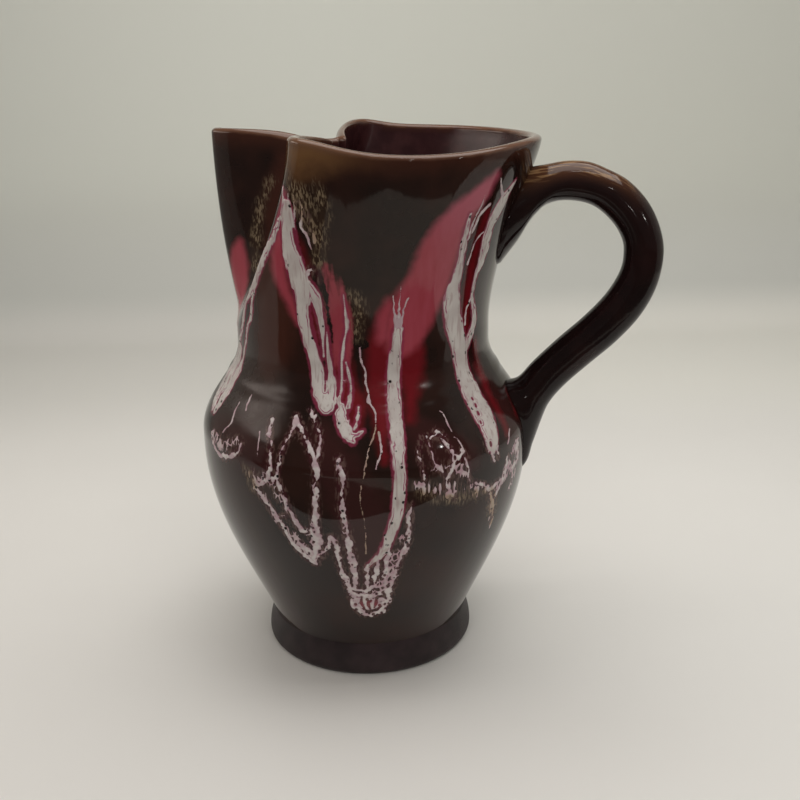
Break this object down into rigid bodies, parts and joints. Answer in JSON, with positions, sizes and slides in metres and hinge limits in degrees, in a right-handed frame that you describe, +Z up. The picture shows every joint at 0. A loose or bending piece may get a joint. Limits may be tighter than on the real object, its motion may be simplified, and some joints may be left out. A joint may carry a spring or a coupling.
{
  "type": "pitcher",
  "caption": "Glazed earthenware pitcher with a round belly, a flared neck pinched into a narrow spout, a loop handle and raised drips of white glaze.",
  "frame": {"origin": "on the axis the jug was thrown on, at the plane the foot stands on", "axes": "+Z up, +X towards the handle, -X towards the spout, the XZ plane is the plane of symmetry of the clay"},
  "size_m": [0.1723, 0.1248, 0.2001],
  "materials": {
    "brown_glaze": "gloss",
    "bare_foot": "satin",
    "white_glaze": "gloss"
  },
  "bodies": {
    "root": {"foot_ring": "bare_foot", "floor_slab": "brown_glaze", "belly_wall": "brown_glaze", "neck_collar": "brown_glaze", "handle_loop": "brown_glaze", "handle_upper_root": "brown_glaze", "handle_lower_root": "brown_glaze", "white_glaze_runs": "white_glaze"}
  },
  "joints": []
}
